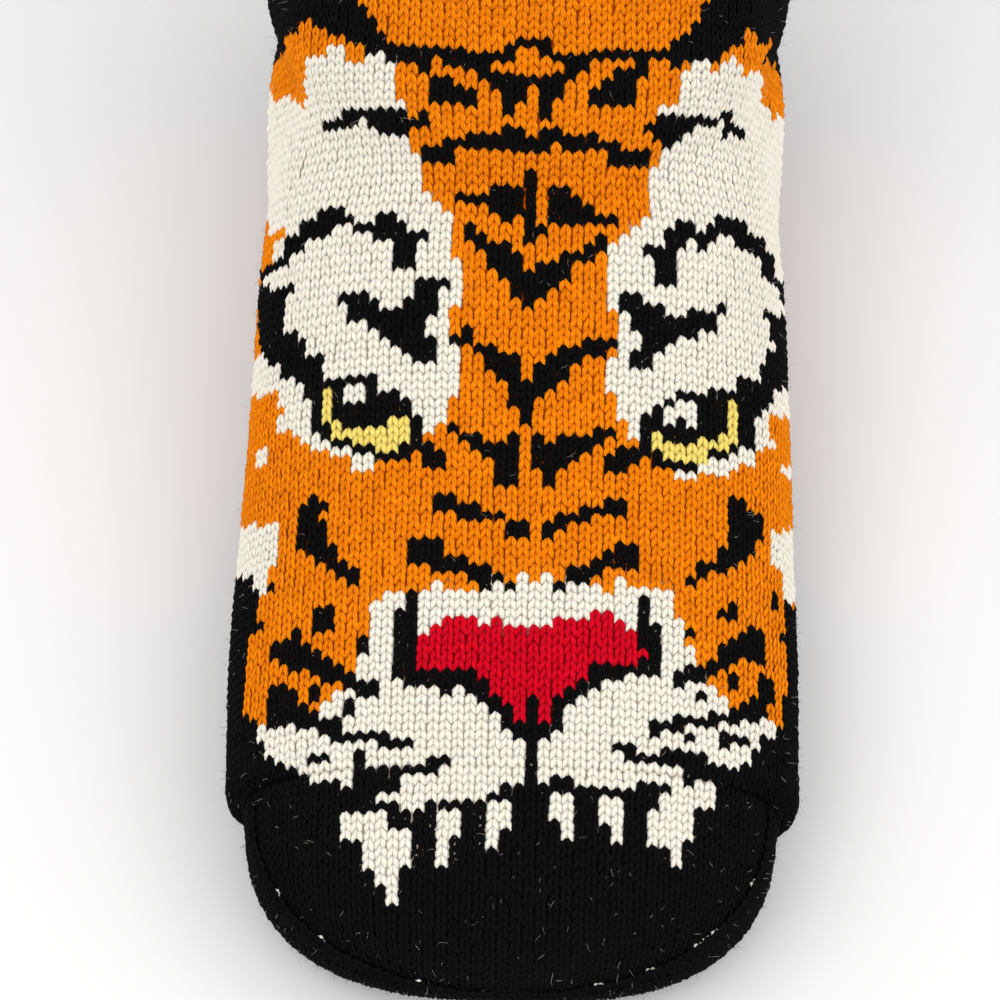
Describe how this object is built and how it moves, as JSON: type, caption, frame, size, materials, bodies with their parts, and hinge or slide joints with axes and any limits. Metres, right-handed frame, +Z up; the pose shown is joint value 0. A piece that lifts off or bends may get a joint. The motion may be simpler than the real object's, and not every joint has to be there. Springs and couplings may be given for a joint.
{
  "type": "slipper sock",
  "caption": "Thick knitted slipper sock for either foot: hollow foot-shaped upper with an animal-face pattern, plain toe, heel and sole, and a ribbed cuff.",
  "frame": {"origin": "on the floor, under the middle of the sock's length and width", "axes": "+Z up, toe towards -Y, heel towards +Y, X across the foot"},
  "size_m": [0.104, 0.236, 0.1962],
  "materials": {
    "orange_yarn": "matt knitted yarn",
    "black_yarn": "matt knitted yarn"
  },
  "bodies": {
    "root": {"upper": "orange_yarn", "cuff": "orange_yarn", "sole": "black_yarn", "toe_pocket": "black_yarn", "heel_pocket": "black_yarn"}
  },
  "joints": []
}
